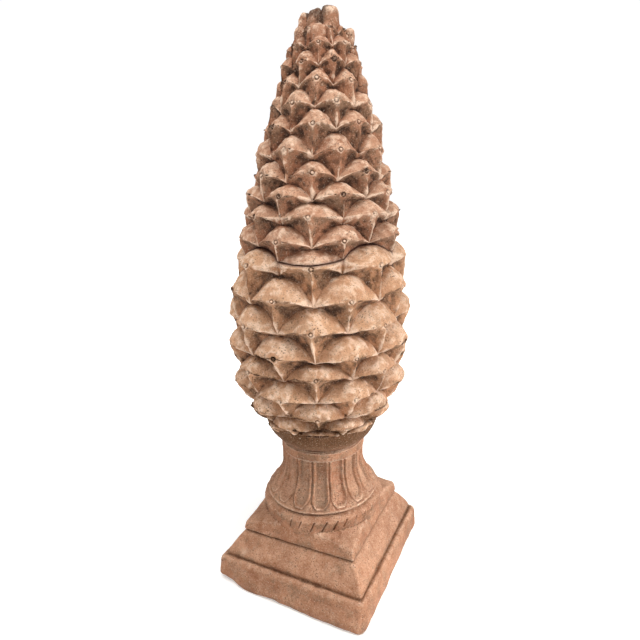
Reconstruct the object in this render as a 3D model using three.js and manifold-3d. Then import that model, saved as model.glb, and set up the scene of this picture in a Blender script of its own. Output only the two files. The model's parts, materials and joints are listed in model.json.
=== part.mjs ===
// Terracotta pine cone finial in two parts: a square plinth, a leaf-carved foot and the lower half of the
// cone in one piece, and the upper half of the cone resting on it along a wavy seam.
// Millimetres, +Z up. The origin is the middle of the plinth's underside, and its sides lie along X and Y.

import * as THREE from "three";
import { mergeVertices } from "three/addons/utils/BufferGeometryUtils.js";
import Module from "manifold-3d";

const wasm = await Module();
wasm.setup();

// Plinth: a slab, a groove and fillet, a broad bevel, and a die under the foot
const slabHalf = 202;
const slabHeight = 74;
const slabLean = 3;
const slabEdge = 6;
const slabLedge = 11;
const grooveDrop = 3;
const filletHeight = 8;
const bevelHeight = 52;
const dieHalf = 152;
const dieHeight = 30;
const dieLean = 4;
const dieEdge = 4;
const dieTopRise = 8;
const plinthCorner = 5;

// Foot: a roll, a hollow, a flaring bell of leaves, a collar with one bead, and a bowl under the cone
const rollRadius = 152;
const rollHeight = 50;
const rollTuck = 7;
const hollowDepth = 10;
const hollowHeight = 8;
const bellFoot = 141;
const neckRadius = 100;
const bellHeight = 122;
const leafCount = 16;
const leafDepth = 5;
const leafPanel = 0.66;
const leafPointShare = 0.26;
const collarHeight = 22;
const beadHeight = 7;
const grooveDepth = 3;
const bowlHeight = 60;
const bowlRadius = 139;

// Cone: rows of scales set half a step apart, each row with the same number
const scalesPerRow = 8;
const lowestPipHeight = 436;
const lowestReach = 42;
const rowsHeight = 842;
const coneRadius = 213;
const reliefShare = 0.17;
const reliefLeast = 4;
const tipProud = 0.42;
const browProud = 0.2;
const domeBulge = 0.34;
const browArch = 0.08;
const hollowShare = 0.42;

// Crown: upright lobes that close the cone's tip. Each has the side that it stands to in degrees from X,
// how far out it stands, its radius, and how far its top is below the highest.
const crownRise = 46;
const lobeHeight = 70;
const crownLobes = [
  { side: -19, out: 19.5, radius: 19, drop: 0 },
  { side: -119, out: 18, radius: 15, drop: 3 },
  { side: 206, out: 31, radius: 14, drop: 6 },
  { side: 84, out: 20, radius: 18, drop: 9 },
  { side: 148, out: 25, radius: 16, drop: 15 },
];

// Seam between the two parts
const seamGap = 0.3;
const seamRow = 8;
const cutDomes = [1, 6];
const seamSag = 0.08;
const seamSteps = 64;

const full = 2 * Math.PI;
const scaleStep = full / scalesPerRow;
const mix = THREE.MathUtils.lerp;

// Free shapes, read along the rows from the lowest to the highest: the share of the height that each row
// takes, the share of the greatest radius at each pip, how far the axis strays from plumb, and how many
// degrees the rows are turned. The rows also rise a little towards the side that the axis strays to.
const pitchShares = [24, 38, 50, 48, 45, 58, 62, 65, 51, 46, 42, 39, 45, 50, 40, 41, 36, 34, 28];
const radiusShares = [
  0.7, 0.79, 0.89, 0.97, 0.98, 1, 0.99, 0.97, 0.905, 0.845, 0.81, 0.755, 0.7, 0.655, 0.59, 0.515, 0.445, 0.4,
  0.335, 0.245,
];
const strays = [0, -4, -5, -6, -1, 2, 3, 6, 7, 8];
const rowTurns = [1.3, 1.3, 1.7, 0.4, -1.6, -3.3, -4, -4.4, -3, -1.5];
const straySide = THREE.MathUtils.degToRad(26.5);
const rowTilt = 0.018;

// How far under each row's pips the scales meet beside them, as shares of the row's pitch: the tips of the
// scales above, and the ends of the brows
const tipDrops = [
  0.22, 0.22, 0.22, 0.22, 0.22, 0.2, 0.13, 0.25, -0.17, 0.28, 0.11, 0.33, 0.37, 0.23, 0.27, 0.3, 0.3, 0.3, 0.3, 0.3,
];
const browDrops = [
  0.29, 0.29, 0.29, 0.29, 0.29, 0.28, 0.25, 0.32, 0.35, 0.36, 0.42, 0.42, 0.45, 0.42, 0.42, 0.42, 0.42, 0.42, 0.42,
  0.42,
];

// How far the levels of the plinth and the foot rise to each millimetre along X, from the underside up to
// the lowest pips at even steps
const levelLeans = [0, 0.03, 0.052, 0.056, 0.045, 0.035, 0.025, 0.018];
const rowCount = radiusShares.length;
const pitchTotal = pitchShares.reduce((sum, share) => sum + share, 0);

// The value of a list of values at a place between 0 and 1 along it, with straight runs between them
function valueAlong(values, share) {
  const place = THREE.MathUtils.clamp(share, 0, 1) * (values.length - 1);
  const k = Math.min(Math.floor(place), values.length - 2);
  return mix(values[k], values[k + 1], place - k);
}

function pitchOf(row) {
  const kept = THREE.MathUtils.clamp(row, 0, pitchShares.length - 1);
  return (pitchShares[kept] / pitchTotal) * rowsHeight;
}

function pipHeight(row) {
  let height = lowestPipHeight;
  for (let k = 0; k < row; k++) height += pitchOf(k);
  return height + Math.min(0, row) * lowestReach;
}

const pipHeights = Array.from({ length: rowCount }, (_, row) => pipHeight(row));
const rowPitch = (row) => (pipHeight(row + 1) - pipHeight(row - 1)) / 2;

// Radius through the pips at any height, going on at the same slope past both ends
function pipRadius(height) {
  const found = pipHeights.findIndex((h) => h >= height);
  const k = THREE.MathUtils.clamp(found < 0 ? rowCount - 1 : found, 1, rowCount - 1);
  const share = (height - pipHeights[k - 1]) / (pipHeights[k] - pipHeights[k - 1]);
  return coneRadius * mix(radiusShares[k - 1], radiusShares[k], THREE.MathUtils.clamp(share, -2, 1.5));
}

const relief = (height) => reliefShare * pipRadius(height) + reliefLeast;
const strayAt = (height) => valueAlong(strays, (height - lowestPipHeight) / rowsHeight);
const rowTurn = (row) =>
  THREE.MathUtils.degToRad(valueAlong(rowTurns, (pipHeight(row) - lowestPipHeight) / rowsHeight));

// Repeatable small unevenness of hand work, from -1 to 1
function uneven(row, column, kind) {
  const turned = Math.sin(row * 12.9898 + column * 78.233 + kind * 37.719) * 43758.5453;
  return 2 * (turned - Math.floor(turned)) - 1;
}

const wrapColumn = (column) => ((column % scalesPerRow) + scalesPerRow) % scalesPerRow;
const columnOf = (row, i) => i + (row % 2 === 0 ? 0.5 : 0);

// A place where scales meet, between two scales of its row. The lower one, at the ends of their brows, is
// the top of the scale below; the higher one is the tip of the scale above.
function meeting(row, column, kind) {
  const kept = wrapColumn(column);
  const listed = THREE.MathUtils.clamp(row, 0, rowCount - 1);
  const drop = { brow: browDrops, high: tipDrops }[kind][listed];
  const wander = 0.04 * uneven(row, kept, 1);
  return {
    turn: (column + wander) * scaleStep + rowTurn(row),
    height: pipHeight(row) + (0.05 * uneven(row, kept, 2) - drop) * rowPitch(row),
    proud: { brow: browProud, high: tipProud }[kind],
  };
}

// A point of the cone's skin: how far it stands proud is a share of the relief at its height
function skinPoint({ turn, height, proud }) {
  const radius = pipRadius(height) - relief(height) * (1 - proud);
  const stray = strayAt(height);
  return new THREE.Vector3(
    radius * Math.cos(turn) + stray * Math.cos(straySide),
    radius * Math.sin(turn) + stray * Math.sin(straySide),
    height + rowTilt * radius * Math.cos(turn - straySide),
  );
}

// The middle of the edge between two meetings, which bows upward
function bowed(a, b) {
  return {
    turn: mix(a.turn, b.turn, 0.5),
    height: mix(a.height, b.height, 0.5) + domeBulge * Math.abs(a.height - b.height),
    proud: mix(a.proud, b.proud, 0.5) * 0.6,
  };
}

// One scale as a fan of rays from its pip to its edge: a convex dome above the brow, two hollow faces
// below it, and a keel down to the tip. Each ray has its point on the edge, the share of the way at which
// its middle point stands, and how proud of the straight line between its ends that point is.
function scaleRays(row, column) {
  const top = meeting(row + 1, column, "brow");
  const tip = meeting(row - 1, column, "high");
  const [browLeft, highLeft] = ["brow", "high"].map((kind) => meeting(row, column - 0.5, kind));
  const [browRight, highRight] = ["brow", "high"].map((kind) => meeting(row, column + 0.5, kind));
  const dome = { reach: 0.66, proud: 0.3, lift: 0 };
  const face = { reach: 0.5, proud: -hollowShare, lift: 0 };
  return [
    { edge: browRight, reach: 0.6, proud: 0.26, lift: browArch },
    { edge: highRight, ...dome },
    { edge: bowed(highRight, top), ...dome },
    { edge: top, ...dome },
    { edge: bowed(top, highLeft), ...dome },
    { edge: highLeft, ...dome },
    { edge: browLeft, reach: 0.6, proud: 0.26, lift: browArch },
    { edge: bowed(browLeft, tip), ...face },
    { edge: tip, reach: 0.6, proud: 0.06, lift: 0 },
    { edge: bowed(tip, browRight), ...face },
  ];
}

function scaleFan(row, column) {
  const kept = wrapColumn(column);
  const pitch = rowPitch(row);
  const pip = {
    turn: (column + 0.03 * uneven(row, kept, 3)) * scaleStep + rowTurn(row),
    height: pipHeight(row) + 0.05 * pitch * uneven(row, kept, 4),
    proud: 1 + 0.07 * uneven(row, kept, 5),
  };
  const rays = scaleRays(row, column).map(({ edge, reach, proud, lift }) => ({
    edge: skinPoint(edge),
    between: skinPoint({
      turn: mix(pip.turn, edge.turn, reach),
      height: mix(pip.height, edge.height, reach) + lift * pitch,
      proud: mix(pip.proud, edge.proud, reach) + proud * Math.min(1, 4 * reach * (1 - reach)),
    }),
  }));
  return { pip: skinPoint(pip), rays };
}

// A surface from lists of three points, one list per face
function surfaceFrom(faces) {
  const geometry = new THREE.BufferGeometry();
  const places = faces.flat().flatMap((point) => [point.x, point.y, point.z]);
  geometry.setAttribute("position", new THREE.Float32BufferAttribute(places, 3));
  return geometry;
}

// The closed skin of the whole cone: every scale, and a fan of faces that closes each end
function coneGeometry() {
  const faces = [];
  const axisPoint = (height) => new THREE.Vector3(0, 0, height);
  const base = axisPoint(pipHeight(-1) - 20);
  const peak = axisPoint(pipHeight(rowCount) + 4);
  for (let row = 0; row < rowCount; row++) {
    for (let i = 0; i < scalesPerRow; i++) {
      const { pip, rays } = scaleFan(row, columnOf(row, i));
      rays.forEach((ray, k) => {
        const next = rays[(k + 1) % rays.length];
        faces.push([pip, ray.between, next.between]);
        faces.push([ray.between, ray.edge, next.edge], [ray.between, next.edge, next.between]);
      });
      const open = (from, to, end) => {
        for (let k = from; k < to; k++) faces.push([rays[(k + 1) % rays.length].edge, rays[k].edge, end]);
      };
      if (row === 0) open(6, 10, base);
      if (row === rowCount - 1) open(1, 5, peak);
    }
  }
  return surfaceFrom(faces);
}

// Faces between rings of points from bottom to top, closed at both ends by a fan
function skinOver(rings) {
  const faces = [];
  const middleOf = (ring) => ring.reduce((sum, p) => sum.add(p), new THREE.Vector3()).divideScalar(ring.length);
  const next = (ring, i) => ring[(i + 1) % ring.length];
  const [bottom, top] = [rings[0], rings.at(-1)];
  const [bottomMiddle, topMiddle] = [middleOf(bottom), middleOf(top)];
  bottom.forEach((p, i) => faces.push([next(bottom, i), p, bottomMiddle]));
  top.forEach((p, i) => faces.push([p, next(top, i), topMiddle]));
  for (let k = 0; k + 1 < rings.length; k++) {
    const [low, high] = [rings[k], rings[k + 1]];
    low.forEach((p, i) => {
      faces.push([p, next(low, i), next(high, i)], [p, next(high, i), high[i]]);
    });
  }
  return surfaceFrom(faces);
}

// Levels of the plinth and the foot, each worked out from the one below it
const ledgeHalf = slabHalf - slabLean - slabLedge;
const bevelFoot = slabHeight + filletHeight;
const dieFoot = bevelFoot + bevelHeight;
const dieTop = dieFoot + dieHeight;
const rollTop = dieTop + rollHeight;
const bellBase = rollTop + hollowHeight;
const collarFoot = bellBase + bellHeight;
const beadFoot = collarFoot + collarHeight;
const beadTop = beadFoot + beadHeight;

const leaned = (point) => {
  point.z += valueAlong(levelLeans, point.z / lowestPipHeight) * point.x;
  return point;
};

function squareRing(half, height) {
  const inner = half - plinthCorner;
  const ring = [];
  for (let quarter = 0; quarter < 4; quarter++) {
    for (const [x, y] of [[half, 0], [half, inner], [inner, half]]) {
      const point = new THREE.Vector3(x, y, height);
      ring.push(leaned(point.applyAxisAngle(new THREE.Vector3(0, 0, 1), (quarter * full) / 4)));
    }
  }
  return ring;
}

function plinthGeometry() {
  const slabTopHalf = slabHalf - slabLean;
  return skinOver([
    squareRing(slabHalf - 2, 0),
    squareRing(slabHalf, 4),
    squareRing(slabTopHalf, slabHeight - slabEdge),
    squareRing(slabTopHalf - slabEdge, slabHeight),
    squareRing(ledgeHalf - 1, slabHeight - grooveDrop),
    squareRing(ledgeHalf + 2, bevelFoot - 1),
    squareRing(ledgeHalf, bevelFoot + 1),
    squareRing(dieHalf, dieFoot),
    squareRing(dieHalf - 1, dieFoot + 1),
    squareRing(dieHalf - dieLean, dieTop - dieEdge),
    squareRing(dieHalf - dieLean - dieEdge, dieTop),
    squareRing(dieHalf * 0.62, dieTop + dieTopRise),
  ]);
}

// Each level of the foot: its radius, its height, how far the leaves' points have opened there, and
// whether the leaves are carved there at all
function footLevels() {
  const bell = [0.03, 0.14, 0.27, 0.42, 0.62, 0.96].map((share) => {
    const flare = (1 - Math.min(1, share / 0.66)) ** 1.6;
    const opened = Math.min(1, share / leafPointShare);
    return [neckRadius + (bellFoot - neckRadius) * flare, bellBase + share * bellHeight, opened, 1];
  });
  const bowl = [0.12, 0.4, 0.75, 1].map((share) => [
    neckRadius + 4 + (bowlRadius - neckRadius - 4) * Math.sin((share * Math.PI) / 2) ** 0.8,
    beadTop + share * bowlHeight,
  ]);
  return [
    [rollRadius - rollTuck - 3, dieTop - 8],
    [rollRadius - rollTuck, dieTop + rollHeight * 0.15],
    [rollRadius - 1, dieTop + rollHeight * 0.6],
    [rollRadius, dieTop + rollHeight * 0.85],
    [rollRadius - 4, rollTop],
    [rollRadius - hollowDepth - 2, rollTop + hollowHeight * 0.3],
    [bellFoot - 1, bellBase - 2],
    ...bell,
    [neckRadius + 1, collarFoot],
    [neckRadius + 2, beadFoot - 1],
    [neckRadius - grooveDepth, beadFoot],
    [neckRadius + 2, beadFoot + 2],
    [neckRadius + 2, beadTop - 2],
    [neckRadius - 1, beadTop],
    ...bowl,
    [bowlRadius * 0.8, beadTop + bowlHeight + 8],
  ];
}

// A ring of the foot. Each leaf is a raised edge and a sunk panel, which comes to a point at its foot.
function footRing([radius, height, opened = 0, carved = 0]) {
  const ring = [];
  const leafStep = full / leafCount;
  const panelHalf = (leafStep / 2) * (carved ? leafPanel * opened + 0.04 : leafPanel);
  const sunk = radius - leafDepth * carved * Math.min(1, opened * 1.4);
  for (let leaf = 0; leaf < leafCount; leaf++) {
    const turn = leaf * leafStep;
    for (const [offset, r] of [[-leafStep / 2, radius], [-panelHalf, sunk], [panelHalf, sunk]]) {
      ring.push(leaned(new THREE.Vector3(r * Math.cos(turn + offset), r * Math.sin(turn + offset), height)));
    }
  }
  return ring;
}

const footGeometry = () => skinOver(footLevels().map(footRing));

// A lobe of the crown: an upright egg that leans a little way out
function lobeGeometry({ side, out, radius, drop }) {
  const lobe = new THREE.SphereGeometry(1, 9, 6);
  const stray = strayAt(pipHeight(rowCount - 1));
  lobe.rotateX(Math.PI / 2);
  lobe.scale(radius * 0.85, radius, lobeHeight / 2);
  lobe.translate(out, 0, pipHeight(rowCount - 1) + crownRise - lobeHeight / 2 - drop);
  lobe.rotateZ(THREE.MathUtils.degToRad(side));
  lobe.translate(stray * Math.cos(straySide), stray * Math.sin(straySide), 0);
  return lobe;
}

// The seam follows the upper edges of one row's domes, but runs level across the domes that it cuts
function seamPath() {
  const path = [];
  for (let i = 0; i < scalesPerRow; i++) {
    const column = columnOf(seamRow, i);
    const start = meeting(seamRow, column - 0.5, "high");
    const end = meeting(seamRow, column + 0.5, "high");
    const top = meeting(seamRow + 1, column, "brow");
    const whole = [start, bowed(start, top), top, bowed(top, end)];
    const steps = [0, 0.25, 0.5, 0.75];
    const level = (share) => ({
      turn: mix(start.turn, end.turn, share),
      height: mix(start.height, end.height, share) - seamSag * rowPitch(seamRow) * Math.sin(share * Math.PI),
    });
    path.push(...(cutDomes.includes(i) ? steps.map(level) : whole));
  }
  return path;
}

function seamHeight(turn) {
  const path = seamPath();
  const wrapped = THREE.MathUtils.euclideanModulo(turn - path[0].turn, full) + path[0].turn;
  const closed = [...path, { ...path[0], turn: path[0].turn + full }];
  const k = closed.findIndex((point) => point.turn > wrapped) - 1;
  const [p, q] = [closed[k], closed[k + 1]];
  return mix(p.height, q.height, (wrapped - p.turn) / (q.turn - p.turn));
}

// Everything above the seam, out to past the cone's widest. The seam tilts with the rows.
function seamBlock() {
  const seamRadius = pipRadius(pipHeight(seamRow));
  const ringAt = (radius, heightAt) =>
    Array.from({ length: seamSteps }, (_, i) => {
      const turn = (i * full) / seamSteps;
      return new THREE.Vector3(radius * Math.cos(turn), radius * Math.sin(turn), heightAt(turn));
    });
  const tilted = (turn) => seamHeight(turn) + rowTilt * seamRadius * Math.cos(turn - straySide);
  const inner = ringAt(seamRadius * 0.6, tilted);
  const outer = ringAt(slabHalf * 2, tilted);
  return skinOver([inner, outer, ringAt(slabHalf * 2, () => pipHeight(rowCount) + crownRise * 2)]);
}

// Joining and cutting
function solidOf(geometry) {
  const bare = geometry.index ? geometry.toNonIndexed() : geometry.clone();
  bare.deleteAttribute("normal");
  bare.deleteAttribute("uv");
  const merged = mergeVertices(bare, 1e-3);
  return new wasm.Manifold(
    new wasm.Mesh({
      numProp: 3,
      vertProperties: merged.attributes.position.array,
      triVerts: new Uint32Array(merged.index.array),
    }),
  );
}

function geometryOf(solid) {
  const mesh = solid.getMesh();
  const geometry = new THREE.BufferGeometry();
  geometry.setAttribute("position", new THREE.Float32BufferAttribute(mesh.vertProperties, 3));
  geometry.setIndex([...mesh.triVerts]);
  geometry.computeVertexNormals();
  return geometry;
}

const terracotta = (colour) => new THREE.MeshStandardMaterial({ color: colour, roughness: 0.9, metalness: 0 });

function piece(name, solid, colour) {
  const mesh = new THREE.Mesh(geometryOf(solid), terracotta(colour));
  mesh.name = name;
  return mesh;
}

const cone = solidOf(coneGeometry());
const above = solidOf(seamBlock());
const aboveSeam = cone.intersect(above);
const belowSeam = cone.subtract(above.translate(0, 0, -seamGap));
const crown = crownLobes.map((lobe) => solidOf(lobeGeometry(lobe)));
const foot = solidOf(plinthGeometry()).add(solidOf(footGeometry()));

const finial = new THREE.Group();
finial.add(piece("lower_part", belowSeam.add(foot), 0xb98465));
finial.add(piece("upper_part", crown.reduce((whole, lobe) => whole.add(lobe), aboveSeam), 0xc08c6c));

export default finial;
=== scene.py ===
import json
import math

import bmesh
import bpy
import numpy as np
from mathutils import Matrix, Vector

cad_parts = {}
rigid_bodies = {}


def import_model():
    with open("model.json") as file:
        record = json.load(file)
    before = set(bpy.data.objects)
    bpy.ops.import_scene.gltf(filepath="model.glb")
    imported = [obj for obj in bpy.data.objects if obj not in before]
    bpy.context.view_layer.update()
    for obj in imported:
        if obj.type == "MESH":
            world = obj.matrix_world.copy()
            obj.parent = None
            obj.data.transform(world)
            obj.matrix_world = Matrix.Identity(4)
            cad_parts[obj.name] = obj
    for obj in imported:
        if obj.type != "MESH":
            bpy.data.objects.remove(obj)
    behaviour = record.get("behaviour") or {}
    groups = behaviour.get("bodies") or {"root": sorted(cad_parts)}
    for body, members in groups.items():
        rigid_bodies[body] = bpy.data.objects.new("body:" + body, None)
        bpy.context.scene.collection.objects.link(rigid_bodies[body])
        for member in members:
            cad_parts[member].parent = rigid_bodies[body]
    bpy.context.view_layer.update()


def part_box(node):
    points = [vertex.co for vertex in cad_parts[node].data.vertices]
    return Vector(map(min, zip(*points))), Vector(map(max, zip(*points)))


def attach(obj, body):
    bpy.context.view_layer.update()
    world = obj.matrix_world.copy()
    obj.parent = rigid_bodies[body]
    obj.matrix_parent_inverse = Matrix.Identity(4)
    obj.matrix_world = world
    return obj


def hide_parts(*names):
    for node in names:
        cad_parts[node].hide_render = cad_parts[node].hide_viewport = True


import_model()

# Looks of a terracotta pine cone finial. Lengths in the settings are millimetres, +Z up, as in the CAD part.
fullTurn = 2 * math.pi
metre = 0.001


# The value at a share of the way from a to b
def mix(a, b, share):
    return a + (b - a) * share


# A share kept from 0 to 1 and eased at both ends: three squares less two cubes
def smooth(share):
    kept = np.clip(share, 0, 1)
    return kept * kept * (3 - 2 * kept)


# The same, as a value goes on from a start over a distance
def eased(value, start, distance):
    return smooth((value - start) / distance)


# 1 at the middle, less both ways: e to minus the square of the offset over the half width
def hump(value, middle, half):
    return np.exp(-(((value - middle) / half) ** 2))


# Points from radius, turn and height
def polar(radius, turn, height):
    return np.stack(np.broadcast_arrays(radius * np.cos(turn), radius * np.sin(turn), height), axis=-1)


# Noise from -1 to 1: random numbers at the corners of a cubic lattice, joined by a smooth step
def latticeNoise(points, size, seed):
    count = 32
    table = np.random.default_rng(seed).uniform(-1, 1, (count, count, count))
    place = np.asarray(points, float) / size
    low = np.floor(place).astype(int)
    part = smooth(place - low)
    total = np.zeros(place.shape[:-1])
    for corner in np.ndindex(2, 2, 2):
        at = (low + corner) % count
        weight = np.prod(np.where(corner, part, 1 - part), axis=-1)
        total += weight * table[at[..., 0], at[..., 1], at[..., 2]]
    return total


# Noise of several layers: the sum of depth * noise of that size
def layeredNoise(points, layers, seed):
    return sum(depth * latticeNoise(points, size, seed + k) for k, (size, depth) in enumerate(layers))


# A mesh object from points in millimetres
def meshObject(name, points, faces):
    mesh = bpy.data.meshes.new(name)
    mesh.from_pydata((points * metre).tolist(), [], faces)
    mesh.update()
    made = bpy.data.objects.new(name, mesh)
    bpy.context.scene.collection.objects.link(made)
    return made


# Quads of a grid that closes on itself along its columns
def wrappedQuads(rows, columns):
    index = np.arange(rows * columns).reshape(rows, columns)
    turned = np.roll(index, -1, axis=1)
    quads = np.stack([index[:-1], turned[:-1], turned[1:], index[1:]], axis=-1)
    return quads.reshape(-1, 4).tolist()


# A closed skin over rings of points from bottom to top
def ringSkin(name, rings):
    rows, columns = rings.shape[:2]
    ends = np.stack([rings[0].mean(axis=0), rings[-1].mean(axis=0)])
    points = np.concatenate([rings.reshape(-1, 3), ends])
    first = np.arange(columns)
    after = np.roll(first, -1)
    last = first + (rows - 1) * columns
    bottom = np.stack([after, first, np.full(columns, rows * columns)], axis=-1)
    top = np.stack([last, last[after], np.full(columns, rows * columns + 1)], axis=-1)
    return meshObject(name, points, wrappedQuads(rows, columns) + bottom.tolist() + top.tolist())


# Welds the open edges of a mesh where they lie on each other
def weldEdges(piece, distance):
    work = bmesh.new()
    work.from_mesh(piece.data)
    loose = [vert for vert in work.verts if vert.is_boundary]
    bmesh.ops.remove_doubles(work, verts=loose, dist=distance * metre)
    work.to_mesh(piece.data)
    work.free()


def pointsOf(mesh):
    flat = np.empty(len(mesh.vertices) * 3, np.float32)
    mesh.vertices.foreach_get("co", flat)
    return flat.reshape(-1, 3).astype(float) / metre


def normalsOf(mesh):
    flat = np.empty(len(mesh.vertices) * 3, np.float32)
    mesh.vertex_normals.foreach_get("vector", flat)
    return flat.reshape(-1, 3).astype(float)


def setPoints(mesh, points):
    mesh.vertices.foreach_set("co", (points * metre).astype(np.float32).ravel())
    mesh.update()


def discard(piece):
    mesh = piece.data
    bpy.data.objects.remove(piece)
    bpy.data.meshes.remove(mesh)


# Joins or cuts two closed meshes: the first one gets the result, and the other goes
def combine(piece, other, operation):
    step = piece.modifiers.new("combine", "BOOLEAN")
    step.operation = operation
    step.solver = "MANIFOLD"
    step.object = other
    made = bpy.data.meshes.new_from_object(piece.evaluated_get(bpy.context.evaluated_depsgraph_get()))
    piece.modifiers.remove(step)
    old = piece.data
    piece.data = made
    bpy.data.meshes.remove(old)
    made.name = piece.name
    discard(other)


# Keeps a mesh inside its CAD node's box
def keepInside(piece, node, margin=0.15):
    low, high = (np.array(corner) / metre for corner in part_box(node))
    setPoints(piece.data, np.clip(pointsOf(piece.data), low + margin, high - margin))


marking = {
    "blur": 0.6,  # share of the neighbours in one step of smoothing
    "nearSteps": 3,
    "farSteps": 40,
    "nearGain": 2.6,
    "leastSpacing": 0.7,
    "nearLimit": 1.4,
    "farLimit": 5,
}


# Marks for the materials: how far each point stands out of its smoothed surroundings, near by as a share
# of the points' spacing and farther off in millimetres, and how far it faces up
def markSurface(piece, extra):
    mesh = piece.data
    points, normals = pointsOf(mesh), normalsOf(mesh)
    ends = np.empty(len(mesh.edges) * 2, np.int32)
    mesh.edges.foreach_get("vertices", ends)
    a, b = ends.reshape(-1, 2).T
    count = len(points)
    links = np.maximum(np.bincount(a, minlength=count) + np.bincount(b, minlength=count), 1)
    spans = np.linalg.norm(points[a] - points[b], axis=-1)
    spacing = (np.bincount(a, spans, count) + np.bincount(b, spans, count)) / links
    smoothed, marks = points, {}
    for step in range(1, marking["farSteps"] + 1):
        around = [
            np.bincount(a, smoothed[b, k], count) + np.bincount(b, smoothed[a, k], count) for k in range(3)
        ]
        smoothed = mix(smoothed, np.stack(around, axis=-1) / links[:, None], marking["blur"])
        if step == marking["nearSteps"]:
            near = marking["nearGain"] * np.sum((points - smoothed) * normals, axis=-1)
            near = near / np.maximum(spacing, marking["leastSpacing"])
            marks["near"] = np.clip(near, -marking["nearLimit"], marking["nearLimit"])
    far = np.sum((points - smoothed) * normals, axis=-1)
    marks["far"] = np.clip(far, -marking["farLimit"], marking["farLimit"])
    marks["up"] = normals[:, 2]
    marks.update(extra)
    for name, values in marks.items():
        mesh.attributes.new(name, "FLOAT", "POINT").data.foreach_set("value", values.astype(np.float32))


def finishPiece(piece, node, material, sharpAngle):
    mesh = piece.data
    mesh.materials.clear()
    mesh.materials.append(material)
    mesh.shade_smooth()
    mesh.set_sharp_from_angle(angle=math.radians(sharpAngle))
    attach(piece, "root")
    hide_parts(node)
    mesh.calc_loop_triangles()
    print(piece.name, "has", len(mesh.loop_triangles), "triangles")


cone = {
    "scalesPerRow": 8,
    "weld": 0.02,
    "crownMark": (1215, 40),  # height and ease of the crown's tint
    "lowShade": (500, 60, 0.85),  # up to which height, ease and share
    "lowestPip": 436,
    "lowestReach": 42,
    "radius": 213,
    "pitches": [24, 38, 50, 48, 45, 58, 62, 65, 51, 46, 42, 39, 45, 50, 40, 41, 36, 34, 28],
    "radii": [
        0.7, 0.79, 0.89, 0.97, 0.98, 1, 0.99, 0.97, 0.905, 0.845, 0.81, 0.755, 0.7, 0.655, 0.59, 0.515, 0.445,
        0.4, 0.335, 0.245,
    ],
    "strays": [0, -4, -5, -6, -1, 2, 3, 6, 7, 8],
    "straySide": math.radians(26.5),
    "turns": [1.3, 1.3, 1.7, 0.4, -1.6, -3.3, -4, -4.4, -3, -1.5],  # degrees
    "tilt": 0.018,
    # How far under the pips the tips of the scales above and the ends of the brows are, in pitches
    "tipDrops": [
        0.22, 0.22, 0.22, 0.22, 0.22, 0.2, 0.13, 0.25, -0.17, 0.28, 0.11, 0.33, 0.37, 0.23, 0.27, 0.3, 0.3, 0.3,
        0.3, 0.3,
    ],
    "browDrops": [
        0.27, 0.27, 0.27, 0.27, 0.27, 0.26, 0.25, 0.3, 0.35, 0.36, 0.42, 0.42, 0.45, 0.42, 0.42, 0.42, 0.42, 0.42,
        0.42, 0.42,
    ],
    "reliefShare": 0.17,
    "reliefLeast": 4,
    "archPower": (2.6, 2.1),  # how full the arches are, lower and upper rows
    "browPower": (3.6, 2.6),  # how long the brows stay level before they droop
    "domePower": (2.3, 2.6),
    "hollowPower": 1.55,
    "changeRows": (6, 10),
    "tipProud": 0.5,
    "browProud": 0.22,
    "meetingStray": (0.04, 0.05),  # turn in columns, height in pitches
    "pipStray": (0.03, 0.05, 0.07),  # turn, height, how proud
    "archDip": 1.6,  # how deep the joint dips between two tips
    "browHold": (2.2, 1.5),  # how soon its droop is lost under it
    "keelArch": 0.22,
    "keelHalf": (4.6, 3.0),  # half width, and how much it differs
    "browEdge": 5.5,
    "arcSteps": [0, 0.035, 0.1, 0.19, 0.3, 0.43, 0.57, 0.7, 0.81, 0.9, 0.965],  # the same from both ends
    "pipRings": [1.5, 2.8, 3.7, 4.6, 5.6, 7.2],
    "outerRings": [0.05, 0.11, 0.18, 0.26, 0.35, 0.44, 0.53, 0.62, 0.71, 0.79, 0.86, 0.92, 0.965, 1],
    "pipLevel": 6.4,  # radius of the level place round the pip
    "nub": (1.9, 2.5),
    "ringCut": (1.8, 4.6, 0.95),
    "handNoise": [(48, 2.8), (19, 2.3), (8, 1.7), (3.6, 0.6)],
}
pipHeights = cone["lowestPip"] + np.concatenate([[0], np.cumsum(cone["pitches"])]).astype(float)
rowCount = len(pipHeights)


# Height of a row's pips: the listed heights joined straight, going on evenly past both ends
def pipHeight(row):
    row = np.asarray(row, float)
    inside = np.interp(row, np.arange(rowCount), pipHeights)
    below = np.minimum(row, 0) * cone["lowestReach"]
    above = np.maximum(row - (rowCount - 1), 0) * cone["pitches"][-1]
    return inside + below + above


# Half the height from the row below to the row above
def rowPitch(row):
    return (pipHeight(row + 1) - pipHeight(row - 1)) / 2


# Radius through the pips at a height: straight runs between the rows, going on past both ends
def pipRadius(height):
    k = np.clip(np.searchsorted(pipHeights, height), 1, rowCount - 1)
    share = (height - pipHeights[k - 1]) / (pipHeights[k] - pipHeights[k - 1])
    radii = np.array(cone["radii"])
    return cone["radius"] * mix(radii[k - 1], radii[k], np.clip(share, -2, 1.5))


# Depth of the carving: a share of the radius, and a little more
def relief(height):
    return cone["reliefShare"] * pipRadius(height) + cone["reliefLeast"]


# How far the cone's middle strays along X and Y at a height
def strayAt(height):
    stray, side = upCone(height, "strays"), cone["straySide"]
    return stray * math.cos(side), stray * math.sin(side)


# A value listed at even steps from the lowest pips to the highest
def upCone(height, listed):
    share = (height - pipHeights[0]) / (pipHeights[-1] - pipHeights[0])
    return np.interp(share, np.linspace(0, 1, len(cone[listed])), cone[listed])


def rowTurn(row):
    return np.radians(upCone(pipHeight(row), "turns"))


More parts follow.
